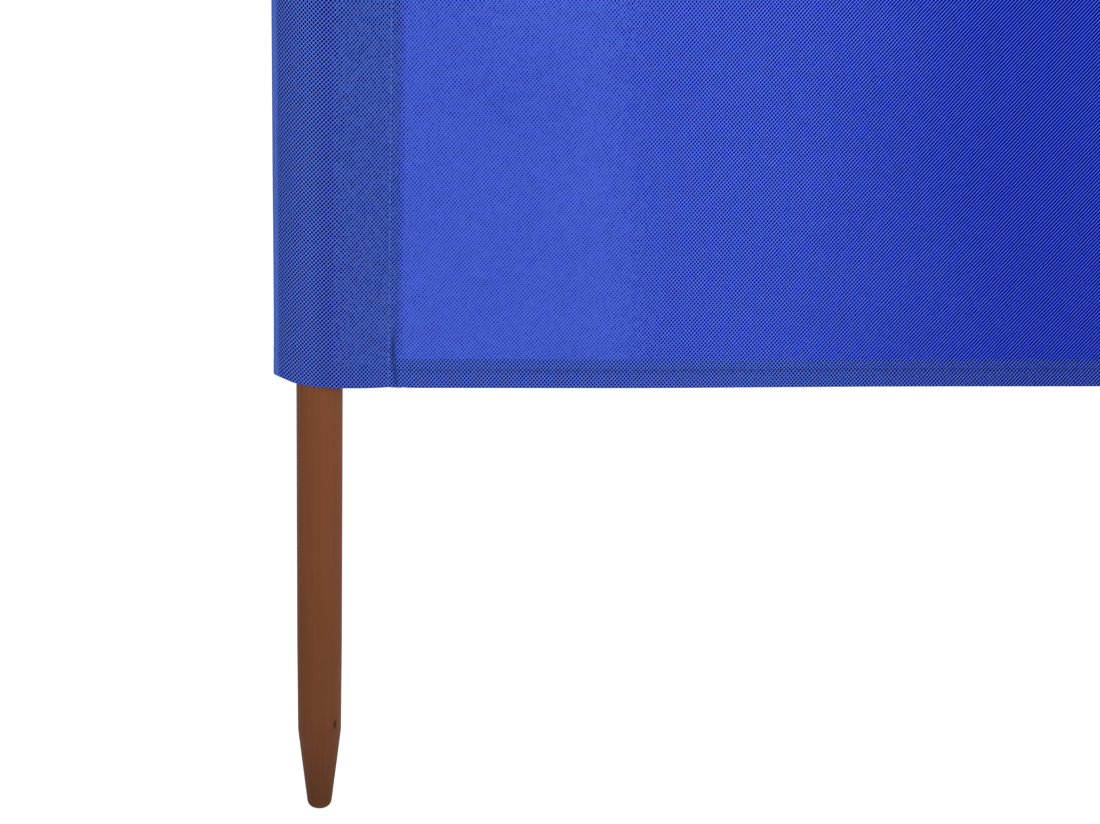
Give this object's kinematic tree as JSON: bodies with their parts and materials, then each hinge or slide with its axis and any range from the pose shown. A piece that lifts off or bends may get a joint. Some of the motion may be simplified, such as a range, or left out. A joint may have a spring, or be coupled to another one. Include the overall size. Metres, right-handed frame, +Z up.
{
  "type": "beach windbreak",
  "caption": "Straight run of blue cloth bays held upright between round brown wooden stakes in sewn sleeves, with hemmed edges and tapered stake feet for pushing into sand.",
  "frame": {"origin": "centre of the flat end of the middle stake's foot", "axes": "+X along the row, to the right as seen from the front, +Y from the front to the back, +Z up along the stakes"},
  "size_m": [4.9946, 0.0334, 1.57],
  "materials": {
    "stake_paint": "smooth brown paint on turned softwood",
    "bay_cloth": "matt blue non-woven cloth, embossed all over with small points, one layer",
    "doubled_cloth": "the same blue cloth where it lies in two layers, duller because less light comes through"
  },
  "bodies": {
    "root": {"pole_1": "stake_paint", "pole_2": "stake_paint", "pole_3": "stake_paint", "pole_4": "stake_paint", "pole_5": "stake_paint", "left_end_sleeve": "doubled_cloth", "middle_sleeve_1": "doubled_cloth", "middle_sleeve_2": "doubled_cloth", "middle_sleeve_3": "doubled_cloth", "right_end_sleeve": "doubled_cloth", "panel_1": "bay_cloth", "panel_2": "bay_cloth", "panel_3": "bay_cloth", "panel_4": "bay_cloth", "bottom_hem_1": "doubled_cloth", "bottom_hem_2": "doubled_cloth", "bottom_hem_3": "doubled_cloth", "bottom_hem_4": "doubled_cloth", "top_hem_1": "doubled_cloth", "top_hem_2": "doubled_cloth", "top_hem_3": "doubled_cloth", "top_hem_4": "doubled_cloth"}
  },
  "joints": []
}
